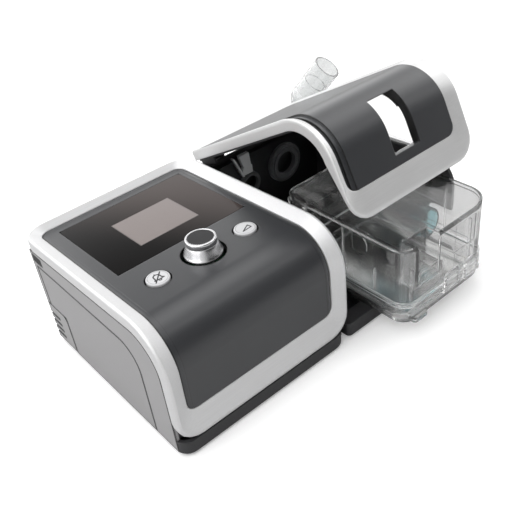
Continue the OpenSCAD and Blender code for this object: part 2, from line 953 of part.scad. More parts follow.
// Pale slanted bars over the air inlet, at the left of the bay's back: each is
// given by its foot and its top as left edge, right edge and height
guard_top = surf_z(block_y, case_d) - 2.6;
guard_low = inlet_z + inlet_r + 3.5 + gap;
guard_bars = [[-8.1, -6.3, guard_low - 1, -17.1, -15.3],
    [-5.3, -1.7, guard_low + 4, -10.2, -6.4], [-5.7, 2.1, guard_low + 4, -6.1, 0.8]];
module inlet_guard() {
    color([0.82, 0.83, 0.84]) placed()
        translate([inlet_x, block_y - gap, 0])
            rotate([90, 0, 0])
                linear_extrude(3.6) {
                    for (b = guard_bars)
                        polygon([[b[0], b[2]], [b[1], b[2]], [b[4], guard_top],
                            [b[3], guard_top]]);
                    polygon([[-8.1, guard_low], [3, guard_low], [3, guard_low + 7],
                        [-6.7, guard_low + 7], [-8.1, guard_low + 4]]);
                }
}

module port_block() {
    color([0.12, 0.12, 0.13]) placed() difference() {
        translate([hx0 + wall + gap, block_y, wall + gap])
            cube([hum_w - 2 * wall - 2 * gap, block_t, 81 - wall]);
        for (side = [[hx0 + wall + 3, ring_x - ring_out - hx0 - wall - 6],
                [ring_x - ring_out, hx1 - wall - 3 - ring_x + ring_out]])
            translate([side[0], block_y + 2.5, wall + 4])
                cube([side[1], 20, 72 - wall]);
        along_y(ring_x, block_y - 1, ring_z, 10, 11);
        along_y(inlet_x, block_y - 1, inlet_z, 10, inlet_r);
        translate([hx0 + wall + 4, block_y - 1, port_z - 9])
            cube([14, 10, 18]);
    }
}

// Short ribbed duct from the left wall to the port block
duct_w = tank_x0 - flange - hx0 - wall - 2 * gap - 0.8;
module inlet_duct() {
    color([0.75, 0.76, 0.77]) placed() {
        difference() {
            union() {
                translate([hx0 + wall + gap, port_y - 14, port_z - 14])
                    cube([duct_w, block_y - gap - port_y + 14, 28]);
                for (k = [0:2])
                    translate([hx0 + wall + gap, port_y - 12 + k * 7, port_z - 16])
                        cube([duct_w, 3, 32]);
            }
            translate([hx0 + wall + gap + 2, port_y - 12, port_z - 12])
                cube([duct_w - 4, block_y - port_y + 40, 24]);
            along_x(hx0, port_y, port_z, wall + 4, port_r);
        }
        translate([hx0 + wall + gap, port_y - 8, deck_z + deck_t + gap])
            cube([duct_w, 4, port_z - 16 - deck_z - deck_t - gap]);
    }
}

module gasket(x, z, r_out, r_in, t) {
    translate([x, block_y - gap, z])
        rotate([90, 0, 0])
            rotate_extrude()
                difference() {
                    translate([r_in, 0])
                        square([r_out - r_in, t]);
                    translate([r_in + (r_out - r_in) * 0.45, t - 1])
                        square([(r_out - r_in) * 0.2, 2]);
                    translate([r_out - 1.2, t - 1.2])
                        square(5);
                }
}

module port_ring() {
    color([0.1, 0.1, 0.11]) placed()
        gasket(ring_x, ring_z, ring_out, 11, ring_t);
}

module inlet_seal() {
    color([0.3, 0.3, 0.31]) placed()
        gasket(inlet_x, inlet_z, inlet_r + 3.5, inlet_r, ring_t - 1);
}

module heater_plate() {
    color([0.75, 0.75, 0.77]) placed()
        translate([heater_x0, heater_y0, heater_top - heater_t])
            linear_extrude(heater_t)
                rounded(heater_x1 - heater_x0, heater_l, 6);
}

module heater_springs() {
    color([0.7, 0.7, 0.72]) placed()
        for (x = [heater_x0 + 14, heater_x1 - 14])
            for (y = [heater_y0 + 14, heater_y0 + heater_l - 14])
                translate([x, y, wall + gap])
                    difference() {
                        cylinder(h = heater_top - heater_t - wall - 2 * gap, r = spring_r);
                        translate([0, 0, -1])
                            cylinder(h = 20, r = spring_r - 0.8);
                    }
}

module heater_board() {
    color([0.05, 0.3, 0.15]) placed()
        translate([heater_x0 + 8, heater_y0 + heater_l + 3, wall + gap])
            cube([50, 22, deck_z - wall - 2 * gap]);
}

module hinge_pins() {
    color([0.7, 0.7, 0.72]) placed()
        for (x = ear_x)
            along_x(x + 0.5, hinge_y, hinge_z, 2 * ear_w + knuckle_w - 1, pin_r);
}

module lid_frame() {
    color([0.86, 0.86, 0.87]) placed() opened()
        bright_frame(hx0, hx1, lid_bottom, lid_left_w, lid_right_w, lid_front_w,
            lid_lip_d, lid_edge_d, lid_fall);
}

module window_block(grow) {
    translate([hx0 + window_x - grow, -20, window_z0 - grow])
        cube([window_w + 2 * grow, shoulder_y + 20, window_z1 - window_z0 + 2 * grow]);
}

module lid_panel() {
    color([0.2, 0.2, 0.22]) placed() opened() difference() {
        dark_panel(hx0, hx1, lid_bottom, lid_left_w, lid_right_w, lid_front_w,
            [[0, lid_panel_d + 3.4], [lid_step, lid_panel_d + 1.4],
                [2 * lid_step, lid_panel_d]]);
        window_block(0);
    }
}

module lid_window() {
    color([0.85, 0.9, 0.92, 0.4]) placed() opened()
        intersection() {
            sheet(hx0, hx1, panel_d + 1.6, panel_t - 1.6, depth, lid_bottom);
            window_block(-0.15);
        }
}

// Inner cover of the lid, with the hinge knuckles
liner_x0 = hx0 + wall + 1.2;
liner_x1 = hx1 - wall - 1.2;
module lid_liner() {
    color([0.12, 0.12, 0.13]) placed() opened() difference() {
        union() {
            intersection() {
                sheet(liner_x0, liner_x1, case_d, 1.8, depth - 1.5, lid_bottom);
                translate([hx0, 12, window_z0])
                    cube([hum_w, depth, 100]);
            }
            for (x = [liner_x0, liner_x1 - 1.5])
                across(x, x + 1.5)
                    polygon([[depth - 25, 82], [depth - 3.6, 82],
                        [depth - 3.6, surf_z(depth, case_d) - 0.5],
                        [depth - 25, surf_z(depth - 25, case_d) - 0.5]]);
            for (x = ear_x) {
                along_x(x + ear_w + gap, hinge_y, hinge_z, knuckle_w - 2 * gap, ear_r);
                across(x + ear_w + gap, x + ear_w + knuckle_w - gap)
                    polygon([[depth - 12, surf_z(depth - 12, case_d) - 0.1],
                        [hinge_y, surf_z(hinge_y, case_d) - 0.3], [hinge_y, hinge_z - 1],
                        [depth + 1, surf_z(depth, case_d) - 2.2],
                        [depth - 12, surf_z(depth - 12, case_d) - 1.8]]);
            }
        }
        for (x = ear_x)
            along_x(x - 1, hinge_y, hinge_z, 30, pin_r + run);
        window_block(1);
    }
}

// Plan outline of the water chamber, grown or shrunk all round
module tank_outline(grow) {
    r = tank_r2 + grow;
    intersection() {
        translate([tank_x0 - grow, tank_front - grow])
            rounded(tank_w + 2 * grow, tank_l + 2 * grow, tank_r + grow);
        union() {
            translate([tank_x0 - 10, tank_front - 10])
                square([tank_w + 10 + grow - r, tank_l + 20]);
            translate([tank_x0 - 10, tank_front - grow + r])
                square([tank_w + 20, tank_l]);
            translate([tank_x1 + grow - r, tank_front - grow + r])
                circle(r);
        }
    }
}

plate_in = 7;
module tank_base_hole(grow) {
    translate([tank_x0 + plate_in - grow, tank_front + plate_in + 3 - grow])
        rounded(tank_w - 2 * plate_in + 2 * grow, tank_l - 2 * plate_in - 3 + 2 * grow,
            6 + grow);
}

// Clips over the seam, each on a pin held by two lugs on the chamber's base
clip_w = 14;
clip_t = 2.2;
clip_pin_r = 0.8;
clip_x = [tank_x0 + 43, tank_x1 - 34];
clip_y = tank_front - flange - 2 * gap - clip_t / 2;
clip_pin_z = seam_z - 2.5;
cover_flange_z = seam_z + seal_h + 0.2 + 3;

module clip(x) {
    translate([x, clip_y - clip_t / 2, clip_pin_z - clip_pin_r])
        cube([clip_w, clip_t, cover_flange_z - clip_pin_z + 8]);
    along_x(x - 2, clip_y, clip_pin_z, clip_w + 4, clip_pin_r);
    translate([x, clip_y, cover_flange_z + gap])
        cube([clip_w, tank_front - gap - clip_y, 1.8]);
}

module clip_lugs() {
    for (x = clip_x)
        for (e = [x - 2.6, x + clip_w + 0.4])
            difference() {
                translate([e, clip_y - clip_t / 2, clip_pin_z - 2])
                    cube([2.2, tank_front - clip_y + clip_t / 2, 4]);
                along_x(e - 1, clip_y, clip_pin_z, 5, clip_pin_r + run);
            }
}

module chamber_base() {
    color([0.85, 0.9, 0.92, 0.4]) placed() difference() {
        union() {
            clip_lugs();
            translate([0, 0, tank_z])
                linear_extrude(seam_z - tank_z)
                    tank_outline(0);
            translate([0, 0, seam_z - flange_h])
                linear_extrude(flange_h)
                    tank_outline(flange);
            translate([tank_x0 + 6, tank_front - grip_l, tank_z + 2])
                linear_extrude(5)
                    rounded(16, grip_l + 12, 3);
        }
        translate([0, 0, tank_z + 2])
            linear_extrude(seam_z)
                tank_outline(-clear_wall);
        translate([0, 0, tank_z - 1])
            linear_extrude(20)
                tank_base_hole(0);
    }
}

module chamber_plate() {
    color([0.78, 0.78, 0.8]) placed() {
        translate([0, 0, tank_z])
            linear_extrude(3)
                tank_base_hole(-0.2);
        translate([0, 0, tank_z + 2 + 0.1])
            linear_extrude(0.9)
                tank_base_hole(2);
    }
}

module chamber_seal() {
    color([0.5, 0.6, 0.65]) placed()
        translate([0, 0, seam_z + 0.1])
            linear_extrude(seal_h)
                difference() {
                    tank_outline(0.6);
                    tank_outline(-clear_wall - 0.6);
                }
}

cover_z = seam_z + seal_h + 0.2;
roof_z = rim_z - 4;
notch_x = tank_x0 + 13.8;
relief = 0.8;
rim_lean = 2.7;
rim_lean_h = 3.7;
module chamber_cover() {
    color([0.85, 0.9, 0.92, 0.4]) placed() difference() {
        union() {
            difference() {
                translate([0, 0, cover_z])
                    linear_extrude(rim_z - cover_z)
                        tank_outline(0);
                translate([0, 0, cover_z - 1])
                    linear_extrude(roof_z - cover_z + 1)
                        tank_outline(-clear_wall);
                translate([0, 0, roof_z + clear_wall])
                    linear_extrude(20)
                        tank_outline(-clear_wall);
            }
            translate([0, 0, cover_z])
                linear_extrude(3)
                    difference() {
                        tank_outline(flange);
                        tank_outline(-eps);
                    }
            intersection() {
                translate([notch_x - clear_wall, tank_front + eps, cover_z + 12])
                    cube([notch_w + 2 * clear_wall, notch_l + clear_wall,
                        roof_z - cover_z - 12]);
                translate([0, 0, cover_z])
                    linear_extrude(90)
                        tank_outline(-eps);
            }
            along_y(inlet_x, tank_back - 14, inlet_z, 13, inlet_r + 2);
            along_y(ring_x, tank_back - 14, ring_z, 13, 13);
        }
        translate([notch_x, tank_front - 1, cover_z + 14])
            cube([notch_w, notch_l + 1, 60]);
        along_y(inlet_x, tank_back - 20, inlet_z, 30, inlet_r);
        along_y(ring_x, tank_back - 20, ring_z, 30, 11);
        // The front rim leans back, which lets the closing lid pass
        across(tank_x0 - 1, tank_x1 + 1)
            polygon([[tank_front - 1, rim_z - rim_lean_h], [tank_front, rim_z - rim_lean_h],
                [tank_front + rim_lean, rim_z], [tank_front + rim_lean, rim_z + 1],
                [tank_front - 1, rim_z + 1]]);
        // Shallow panels in the front wall and a half-round one in the left wall
        translate([ring_x - 4, tank_front - 1, seam_z + 23])
            cube([24, relief + 1, 24]);
        translate([ring_x - 4, tank_front - 1, cover_z + 5])
            cube([40, relief + 1, 15]);
        translate([tank_x0 - 1, tank_front + 46, 68])
            rotate([0, 90, 0])
                intersection() {
                    cylinder(h = relief + 1, r = 9);
                    translate([-20, -9, -1])
                        cube([40, 15, 10]);
                }
    }
}

// Air tube inside the chamber, rising towards its open front end
tube_l = 84;
tube_tilt = 3;
module air_tube() {
    color([0.3, 0.6, 0.65, 0.7]) placed()
        translate([ring_x, tank_back - 15, ring_z])
            rotate([90 - tube_tilt, 0, 0])
                difference() {
                    cylinder(h = tube_l, r = 12);
                    translate([0, 0, -1])
                        cylinder(h = tube_l + 2, r = 10.4);
                }
}

module chamber_clip_left() {
    color([0.85, 0.9, 0.92, 0.5]) placed()
        clip(clip_x[0]);
}

module chamber_clip_right() {
    color([0.85, 0.9, 0.92, 0.5]) placed()
        clip(clip_x[1]);
}

module outlet_duct() {
    color([0.12, 0.12, 0.13]) placed() difference() {
        union() {
            translate([duct_x - 12, depth + gap, duct_z - 13])
                cube([24, 2.5, 26]);
            along_y(duct_x, depth + gap, duct_z, elbow_back - gap, spigot_r);
            along_x(duct_x, elbow_y, duct_z, elbow_x - duct_x, spigot_r);
            for (x = [duct_x, elbow_x])
                translate([x, elbow_y, duct_z])
                    sphere(spigot_r);
            translate([elbow_x, elbow_y, duct_z])
                cylinder(h = spigot_top - duct_z, r = spigot_r);
        }
        along_y(duct_x, depth - 1, duct_z, elbow_back + 1, 9);
        along_x(duct_x, elbow_y, duct_z, elbow_x - duct_x, 9);
        for (x = [duct_x, elbow_x])
            translate([x, elbow_y, duct_z])
                sphere(9);
        translate([elbow_x, elbow_y, duct_z])
            cylinder(h = 60, r = 9);
        translate([elbow_x, elbow_y, spigot_top - 5.5])
            difference() {
                cylinder(h = 2.6, r = 20);
                translate([0, 0, -1])
                    cylinder(h = 5, r = 10.1);
            }
    }
}

module elbow_seal() {
    color([0.2, 0.45, 0.6]) placed()
        translate([elbow_x, elbow_y, spigot_top - 5.4])
            difference() {
                cylinder(h = 2.4, r = spigot_r - 0.03);
                translate([0, 0, -1])
                    cylinder(h = 5, r = 10.13);
            }
}

module outlet_elbow() {
    color([0.85, 0.9, 0.92, 0.4]) placed() translate([elbow_x, elbow_y, 0]) difference() {
        union() {
            translate([0, 0, duct_z + spigot_r + 1.5])
                cylinder(h = elbow_z - duct_z - spigot_r - 1.5, r = body_r);
            translate([0, 0, elbow_z])
                sphere(body_r);
            translate([0, 0, elbow_z])
                rotate([0, leg_lean, leg_turn])
                    cylinder(h = leg_l, r = leg_r);
        }
        translate([0, 0, duct_z])
            cylinder(h = elbow_z - duct_z, r = spigot_r + run);
        translate([0, 0, elbow_z])
            sphere(spigot_r);
        translate([0, 0, elbow_z])
            rotate([0, leg_lean, leg_turn]) {
                cylinder(h = leg_l + 1, r = socket_r - 1);
                translate([0, 0, leg_l - socket_l])
                    cylinder(h = socket_l + 1, r = socket_r);
            }
    }
}

module humidifier_feet() {
    color([0.06, 0.06, 0.06]) placed()
        feet(hx0, hum_w);
}

module humidifier_screws() {
    color([0.4, 0.4, 0.42]) placed()
        screws(hx0, hum_w, deck_z + deck_t - gap);
}

main_base();
side_cover_left();
left_side_panel();
side_cover_right();
rear_cover();
filter_cover();
air_filter();
card_door();
upper_chassis();
top_frame();
top_panel();
display_lens();
lcd_module();
main_board();
encoder();
encoder_plunger();
knob();
knob_cap();
mute_button();
ramp_button();
button_switches();
blower_housing();
blower_cover();
impeller();
motor();
muffler_foam();
dc_inlet();
outlet_seal();
dock_connector();
main_feet();
main_screws();
humidifier_base();
bay_deck();
port_block();
inlet_duct();
inlet_guard();
port_ring();
inlet_seal();
heater_plate();
heater_springs();
heater_board();
hinge_pins();
lid_frame();
lid_panel();
lid_window();
lid_liner();
chamber_base();
chamber_plate();
chamber_seal();
chamber_cover();
air_tube();
chamber_clip_left();
chamber_clip_right();
outlet_duct();
outlet_elbow();
elbow_seal();
humidifier_feet();
humidifier_screws();
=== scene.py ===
"""Looks of a bilevel breathing machine with its heated humidifier."""
import json
import math
import bpy
import bmesh
from mathutils import Matrix, Vector

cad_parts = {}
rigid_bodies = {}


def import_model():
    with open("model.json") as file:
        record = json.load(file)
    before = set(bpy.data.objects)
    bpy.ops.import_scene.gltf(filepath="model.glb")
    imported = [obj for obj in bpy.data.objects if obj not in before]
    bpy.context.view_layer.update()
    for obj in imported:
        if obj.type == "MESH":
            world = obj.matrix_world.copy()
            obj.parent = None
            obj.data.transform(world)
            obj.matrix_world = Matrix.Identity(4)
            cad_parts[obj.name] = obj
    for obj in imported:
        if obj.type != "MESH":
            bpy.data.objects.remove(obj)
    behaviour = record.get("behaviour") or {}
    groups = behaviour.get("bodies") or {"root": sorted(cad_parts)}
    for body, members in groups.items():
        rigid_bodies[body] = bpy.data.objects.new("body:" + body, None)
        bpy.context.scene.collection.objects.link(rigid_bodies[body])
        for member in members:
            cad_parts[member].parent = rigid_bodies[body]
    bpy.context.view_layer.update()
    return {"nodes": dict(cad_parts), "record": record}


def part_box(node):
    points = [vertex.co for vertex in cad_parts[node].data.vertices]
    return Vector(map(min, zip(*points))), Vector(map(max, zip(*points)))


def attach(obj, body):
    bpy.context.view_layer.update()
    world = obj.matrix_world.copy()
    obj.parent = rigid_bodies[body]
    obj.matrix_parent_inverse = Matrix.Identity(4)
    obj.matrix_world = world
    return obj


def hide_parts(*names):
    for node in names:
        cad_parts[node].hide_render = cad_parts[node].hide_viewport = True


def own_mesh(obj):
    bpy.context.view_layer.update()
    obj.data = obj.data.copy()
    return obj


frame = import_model()
NODES = frame["nodes"]
RECORD = frame["record"]
BODY = {node: body for body, nodes in RECORD["behaviour"]["bodies"].items() for node in nodes}
SLOT = {part["node"]: part["material_slot"] for part in RECORD["subparts"]}
scene = bpy.context.scene
MM = 0.001

# Measures in millimetres, from the front left lower corner of the main unit's casing

FRAME_LEAD = 1.0                # the top frame starts this far in front of the corner
FEET_HIGH = 2.5
_low, _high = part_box("top_frame")
CORNER = Vector((_low.x, _low.y + FRAME_LEAD * MM, FEET_HIGH * MM))
MAIN_W = (_high.x - _low.x) / MM

TOP_SLOPE = math.radians(2.5)
BEND_Y, BEND_Z, BEND_R = 35, 67, 30.7       # the main panel's bend over the shoulder
PANEL_IN = 11.9                 # the main panel's sides, in from the frame's sides
GROOVE_IN, GROOVE_HALF = 4.3, 0.35          # its fine groove, in from its own sides

MUTE_AT, RAMP_AT, KNOB_AT = (40.5, 60.0), (116.5, 60.0), (79.5, 61.0)
BUTTON_WELL_R, KNOB_WELL_R = 9.9, 17.0
WELLS_ABOVE = 80.0              # the wells lie in the part of the panel above this height
BUTTON_RING_R = 7.1
BUTTON_PROUD = 1.2              # a button's face above the panel

SCREEN_AT, SCREEN_HALF = (81.5, 125.0), (26.0, 21.0)
DOTS_PER_MM = 3.0


def at(x, y, z):
    """A place in the row frame, from millimetres off the corner."""
    return CORNER + Vector((x, y, z)) * MM


def on_panel(x, y):
    """Turns and moves flat work on to the sloping main panel, in row-frame metres."""
    top_y = BEND_Y + BEND_R * math.sin(TOP_SLOPE)
    top_z = BEND_Z + BEND_R * math.cos(TOP_SLOPE)
    z = top_z - math.tan(TOP_SLOPE) * (y - top_y)
    return Matrix.Translation(at(x, y, z)) @ Matrix.Rotation(-TOP_SLOPE, 4, "X")


# Shader kit

class Sock:
    """A node socket that takes part in Python arithmetic."""

    def __init__(self, kit, out):
        self.kit, self.out = kit, out

    def _math(self, op, *args):
        node = self.kit.tree.nodes.new("ShaderNodeMath")
        node.operation = op
        for i, a in enumerate((self,) + args):
            self.kit.put(node.inputs[i], a)
        return Sock(self.kit, node.outputs[0])

    def _flip(self, op, number):
        node = self.kit.tree.nodes.new("ShaderNodeMath")
        node.operation = op
        node.inputs[0].default_value = number
        self.kit.put(node.inputs[1], self)
        return Sock(self.kit, node.outputs[0])

    def __add__(self, o):
        return self._math("ADD", o)

    def __radd__(self, o):
        return self._math("ADD", o)

    def __sub__(self, o):
        return self._math("SUBTRACT", o)

    def __rsub__(self, o):
        return self._flip("SUBTRACT", o)

    def __mul__(self, o):
        return self._math("MULTIPLY", o)

    def __rmul__(self, o):
        return self._math("MULTIPLY", o)

    def abs(self):
        return self._math("ABSOLUTE")

    def above(self, edge):
        return self._math("GREATER_THAN", edge)

    def max(self, o):
        return self._math("MAXIMUM", o)

    def min(self, o):
        return self._math("MINIMUM", o)

    def sin(self):
        return self._math("SINE")

    def sqrt(self):
        return self._math("SQRT")

    def fract(self):
        return self._math("FRACT")

    def smooth(self, lo, hi, out_lo=0.0, out_hi=1.0):
        """Runs softly from one level to another as the value goes from lo to hi."""
        return self.kit.node("ShaderNodeMapRange", {"interpolation_type": "SMOOTHSTEP"},
                             Value=self, **{"From Min": lo, "From Max": hi,
                                            "To Min": out_lo, "To Max": out_hi})

    def hump(self, middle, half):
        """One at the middle, falling softly to nothing half a width away."""
        return (self - middle).abs().smooth(0.0, half, 1.0, 0.0)


class Nodes:
    """A node tree under construction, with one method for any node."""

    def __init__(self, tree):
        self.tree = tree

    def put(self, socket, value):
        """Links a socket to another, or gives it a plain value."""
        if isinstance(value, Sock):
            self.tree.links.new(value.out, socket)
        elif isinstance(value, tuple) and socket.type == "RGBA" and len(value) == 3:
            socket.default_value = (*value, 1)
        else:
            socket.default_value = value

    def node(self, kind, settings=None, output=0, **values):
        """Any node: its settings first, then its sockets; gives one of its outputs."""
        n = self.tree.nodes.new(kind)
        for key, value in (settings or {}).items():
            setattr(n, key, value)
        for key, value in values.items():
            self.put(n.inputs[key], value)
        return Sock(self, n.outputs[output])

    def ray(self, kind):
        """One for a ray of the given kind, as Light Path names it."""
        return self.node("ShaderNodeLightPath", None, f"Is {kind} Ray")


class Finish(Nodes):
    """A material under construction: a Principled shader and helpers round it."""

    def __init__(self, name, color, rough, metallic=0.0, edge=0.0, **plain):
        self.m = bpy.data.materials.new(name)
        self.m.use_nodes = True
        super().__init__(self.m.node_tree)
        self.shader = self.tree.nodes["Principled BSDF"]
        self.shader.inputs["Base Color"].default_value = (*color, 1)
        self.shader.inputs["Roughness"].default_value = rough
        self.shader.inputs["Metallic"].default_value = metallic
        for key, value in plain.items():
            self.shader.inputs[key.replace("_", " ")].default_value = value
        self.color = color
        self.eased = self.node("ShaderNodeBevel", {"samples": 4}, Radius=edge) if edge else None

    def coords(self, scale=(1, 1, 1)):
        """Object coordinates in metres, stretched by a scale for each direction."""
        place = self.node("ShaderNodeTexCoord", None, "Object")
        return self.node("ShaderNodeMapping", Vector=place, Scale=scale)

    def noise(self, scale, rough=0.5, stretch=(1, 1, 1), detail=2.0):
        """Cloudy noise, from nothing to one."""
        return self.node("ShaderNodeTexNoise", None, "Fac", Vector=self.coords(stretch),
                         Scale=scale, Detail=detail, Roughness=rough)

    def cells(self, scale):
        """Distance to the nearest of many scattered points."""
        return self.node("ShaderNodeTexVoronoi", None, "Distance", Vector=self.coords(),
                         Scale=scale)

    def mix(self, factor, a, b):
        """Colour a where the factor is nothing, colour b where it is one."""
        n = self.tree.nodes.new("ShaderNodeMix")
        n.data_type = "RGBA"
        for i, value in ((0, factor), (6, a), (7, b)):      # the sockets of the colour form
            self.put(n.inputs[i], value)
        return Sock(self, n.outputs[2])

    def xyz(self):
        """Millimetres from the corner, in each direction."""
        place = self.node("ShaderNodeTexCoord", None, "Object")
        split = self.node("ShaderNodeSeparateXYZ", Vector=place).out.node
        return [(Sock(self, split.outputs[i]) - CORNER[i]) * 1000 for i in range(3)]

    def normal(self):
        return self.node("ShaderNodeNewGeometry", None, "Normal")

    def set(self, socket, value):
        self.put(self.shader.inputs[socket], value)

    def bump(self, height, strength, distance):
        extra = {"Normal": self.eased} if self.eased else {}
        self.set("Normal", self.node("ShaderNodeBump", Height=height, Strength=strength,
                                     Distance=distance, **extra))

    def edges(self, wide=0.0026, sharp=0.999, soft=0.955):
        """One along the edges that a wide rounding bends, nothing on the open face."""
        bent = self.node("ShaderNodeBevel", {"samples": 8}, Radius=wide)
        agree = self.node("ShaderNodeVectorMath", {"operation": "DOT_PRODUCT"}, "Value")
        self.put(agree.out.node.inputs[0], bent)
        self.put(agree.out.node.inputs[1], self.normal())
        return agree.smooth(soft, sharp, 1.0, 0.0)

    def drift(self, vary, scale=22.0):
        """A slow noise, and the base colour wandering a little with it."""
        slow = self.noise(scale)
        dark = tuple(c * (1 - vary) for c in self.color)
        lite = tuple(min(1, c * (1 + vary)) for c in self.color)
        return slow, self.mix(slow, dark, lite)


def away_from(x, y, centre):
    """Distance from an upright axis, in millimetres."""
    dx, dy = x - centre[0], y - centre[1]
    return (dx * dx + dy * dy).sqrt()


# Makers of finishes

def grained(name, color, rough, grain=900, depth=0.05, vary=0.06, spread=0.06, edge=0.0,
            seam=0.0, **plain):
    """Moulded plastic: fine grain in the bump, slow drift in tone and gloss, painted shadow along
    seams and bent edges.
    """
    f = Finish(name, color, rough, edge=edge, **plain)
    slow, tone = f.drift(vary)
    fine = f.noise(grain, 0.6)
    if seam:
        # Painted shadow: seams and other bent edges are darkened almost to black
        tone = f.mix(f.edges() * seam, tone, tuple(c * 0.06 for c in color))
    f.set("Base Color", tone)
    f.set("Roughness", (slow - 0.5) * spread + (fine - 0.5) * spread + rough)
    f.bump(fine, depth, 0.0004)
    return f.m


def brushed(name, color, rough, metallic):
    """Satin metal paint: long fine streaks over a fine grain."""
    f = Finish(name, color, rough, metallic, edge=0.0012)
    slow, tone = f.drift(0.04, 30.0)
    streaks = f.noise(1.0, 0.6, (40, 1800, 1800))
    fine = f.noise(1500, 0.6)
    in_streak = tuple(c * 0.95 for c in color)
    f.set("Base Color", f.mix(streaks.smooth(0.3, 0.7), in_streak, tone))
    f.set("Roughness", (slow - 0.5) * 0.06 + (streaks - 0.5) * 0.08 + rough)
    f.bump(fine * 0.8 + streaks * 0.2, 0.04, 0.0003)
    return f.m


def clear_plastic(name, tint, rough=0.0, ior=1.46, alpha=0.84, through=1.0):
    """Clear moulding: faint waves in the surface, fuller where it is seen edge on."""
    f = Finish(name, tint, rough, IOR=ior, Transmission_Weight=through)
    slow = f.noise(60.0)
    f.set("Roughness", slow * 0.012 + rough)
    f.bump(slow, 0.05, 0.0006)
    edge_on = f.node("ShaderNodeLayerWeight", None, "Facing", Blend=0.35)
    f.set("Alpha", edge_on * (1 - alpha) + alpha)
    return f.m


def tube_plastic():
    """The air tube: sea green at its open front end, darker further in with painted shade of its
    inside, clear at its root.
    """
    f = Finish("sea_green_tube", (0.45, 0.74, 0.77), 0.03, IOR=1.32, Transmission_Weight=1.0)
    _, y, _ = f.xyz()
    slow = f.noise(60.0)
    mouth, root = (3.0, 12.0), (38.0, 60.0)
    # Painted shade: the tube darkens from its mouth inwards, standing in for its shaded inside
    inside_shade = f.mix(y.smooth(*mouth), (0.36, 0.66, 0.70), (0.24, 0.33, 0.35))
    f.set("Base Color", f.mix(y.smooth(*root), inside_shade, (0.90, 0.94, 0.94)))
    f.set("Roughness", slow * 0.03 + 0.02)
    f.set("Alpha", y.smooth(*root, 0.95, 0.45))
    f.bump(slow, 0.05, 0.0006)
    return f.m


def panel_plastic(name, base, main=False):
    """Charcoal satin plastic; painted shade makes the main panel's wells, groove and outer edges
    black, and sideways faces near black on both panels.
    """
    rough = 0.36
    f = Finish(name, base, rough, edge=0.0014, Coat_Weight=0.45, Coat_Roughness=0.24)
    slow, tone = f.drift(0.05)
    fine = f.noise(1500, 0.6)
    if main:
        painted_shade_black = (0.003, 0.003, 0.003)
        x, y, z = f.xyz()
        # Painted shade in the wells round the buttons and the knob
        for centre, r in ((MUTE_AT, BUTTON_WELL_R), (RAMP_AT, BUTTON_WELL_R),
                          (KNOB_AT, KNOB_WELL_R)):
            well_shade = away_from(x, y, centre).smooth(r - 0.2, r + 0.2, 1.0, 0.0)
            tone = f.mix(well_shade * z.above(WELLS_ABOVE), tone, painted_shade_black)
        inward = (x - PANEL_IN).min((MAIN_W - PANEL_IN) - x)
        # Painted shade in the fine groove, and in a black strip along the outer edges next to the
        # frame
        tone = f.mix(inward.hump(GROOVE_IN, GROOVE_HALF) * 0.7, tone, (0.006, 0.006, 0.007))
        tone = f.mix(inward.smooth(0.7, 1.4, 1.0, 0.0), tone, painted_shade_black)
    # Painted shade: faces turned sideways go near black, on both panels
    sideways_shade = f.node("ShaderNodeSeparateXYZ", None, "X", Vector=f.normal()).abs()
    f.set("Base Color", f.mix(sideways_shade.smooth(0.85, 0.97), tone, (0.004, 0.004, 0.004)))
    f.set("Roughness", (slow - 0.5) * 0.04 + (fine - 0.5) * 0.04 + rough)
    f.bump(fine, 0.06, 0.001)
    return f.m


def lens_glass():
    """Black display glass: deep gloss, with a painted warm reflection towards its far right
    corner.
    """
    f = Finish("display_glass", (0.006, 0.0055, 0.0055), 0.05, edge=0.0005, Coat_Weight=0.05,
               Coat_Roughness=0.03, Specular_IOR_Level=0.12)
    x, y, _ = f.xyz()
    slow, tone = f.drift(0.15, 14.0)
    # Painted reflection: the base colour warms towards the far right corner
    painted_reflection = (x * 0.75 + y * 0.45).smooth(85.0, 160.0)
    f.set("Base Color", f.mix(painted_reflection, tone, (0.058, 0.046, 0.043)))
    f.set("Roughness", slow * 0.03 + 0.04)
    f.bump(slow, 0.02, 0.0004)
    return f.m


def screen():
    """Unlit screen: warm grey with its fine grid of dots and a darker edge."""
    f = Finish("screen", (0.200, 0.170, 0.162), 0.25, Coat_Weight=0.1, Coat_Roughness=0.1)
    x, y, _ = f.xyz()
    across, along = (((v * DOTS_PER_MM).fract() - 0.5).abs() for v in (x, y))
    grid = across.max(along).smooth(0.36, 0.5)
    half_x, half_y = SCREEN_HALF
    edge = (x - SCREEN_AT[0]).abs().smooth(half_x - 1.2, half_x).max(
        (y - SCREEN_AT[1]).abs().smooth(half_y - 1.1, half_y))
    slow, tone = f.drift(0.05, 16.0)
    tone = f.mix(grid * 0.25, tone, (0.15, 0.13, 0.125))
    f.set("Base Color", f.mix(edge * 0.5, tone, (0.06, 0.05, 0.05)))
    f.set("Roughness", slow * 0.05 + 0.22)
    f.bump(grid, 0.05, 0.0002)
    return f.m


def turned(name, color, rough, metallic, centre, depth, ring_step=0.35, rim=None, **plain):
    """Turned face: fine rings round the axis of a knob or a button, a darker one at its rim."""
    f = Finish(name, color, rough, metallic, edge=0.0005, **plain)
    x, y, _ = f.xyz()
    r = away_from(x, y, centre)
    slow, tone = f.drift(0.03, 40.0)
    if rim:
        tone = f.mix(r.hump(rim, 0.45) * 0.75, tone, (0.25, 0.25, 0.26))
    f.set("Base Color", tone)
    f.set("Roughness", slow * 0.06 + rough - 0.02)
    f.bump((r * (2 * math.pi / ring_step)).sin(), depth, 0.0002)
    return f.m


def button_face(name, centre):
    """Pale button with a fine darker ring near its edge."""
    return turned(name, (0.58, 0.58, 0.59), 0.34, 0.0, centre, 0.02, rim=BUTTON_RING_R)


